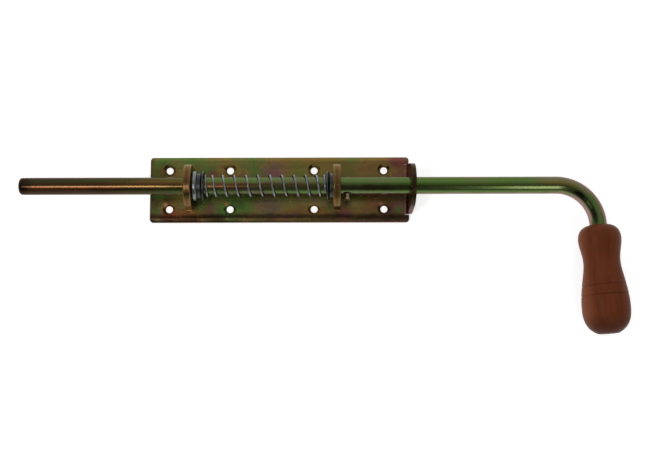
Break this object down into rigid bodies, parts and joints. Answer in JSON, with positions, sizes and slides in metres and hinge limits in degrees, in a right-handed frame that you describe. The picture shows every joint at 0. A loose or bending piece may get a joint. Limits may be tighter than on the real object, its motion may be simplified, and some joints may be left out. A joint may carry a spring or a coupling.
{
  "type": "spring bolt latch",
  "caption": "Surface-mounted spring bolt latch: a cranked round bolt slides in two lugs and a bent tab, held out by a coil spring and drawn back by a turned wooden grip.",
  "frame": {"origin": "centre of the plate's length and width, in the mounting plane behind the plate", "axes": "+X along the bolt from its nose towards the handle, +Z out of the mounting surface, -Y the side the handle arm points to at rest"},
  "size_m": [0.5612, 0.1688, 0.0448],
  "materials": {
    "passivated_plate": "zinc plated with olive-yellow passivation, semi-gloss, cloudy",
    "passivated_rod": "zinc plated with olive-yellow passivation, glossy",
    "bright_zinc": "bright zinc plated, blue-grey, satin",
    "spring_zinc": "zinc plated spring wire, satin",
    "stained_wood": "turned hardwood, red-brown stain under clear varnish"
  },
  "bodies": {
    "frame": {"base_plate": "passivated_plate", "nose_lug": "passivated_plate", "stop_lug": "passivated_plate", "nose_weld_left": "passivated_plate", "nose_weld_right": "passivated_plate", "stop_weld_left": "passivated_plate", "stop_weld_right": "passivated_plate", "stop_spring_cup": "bright_zinc", "spring": "spring_zinc"},
    "seat": {"nose_spring_cup": "bright_zinc"},
    "bolt": {"bolt_rod": "passivated_rod", "thrust_collar": "bright_zinc", "collar_pin": "bright_zinc", "stop_pin": "passivated_rod", "grip": "stained_wood"}
  },
  "joints": [
    {"name": "seat_slide", "type": "slide", "parent": "frame", "child": "seat", "axis": [1, 0, 0], "range_m": [0, 0.0535], "stiffness_N_per_m": 1800, "springref_m": -0.017, "deforming": ["spring"]},
    {"name": "bolt_turn", "type": "hinge", "parent": "seat", "child": "bolt", "pos_m": [0, 0, 0.0225], "axis": [1, 0, 0], "range_deg": [-180, 0]}
  ]
}
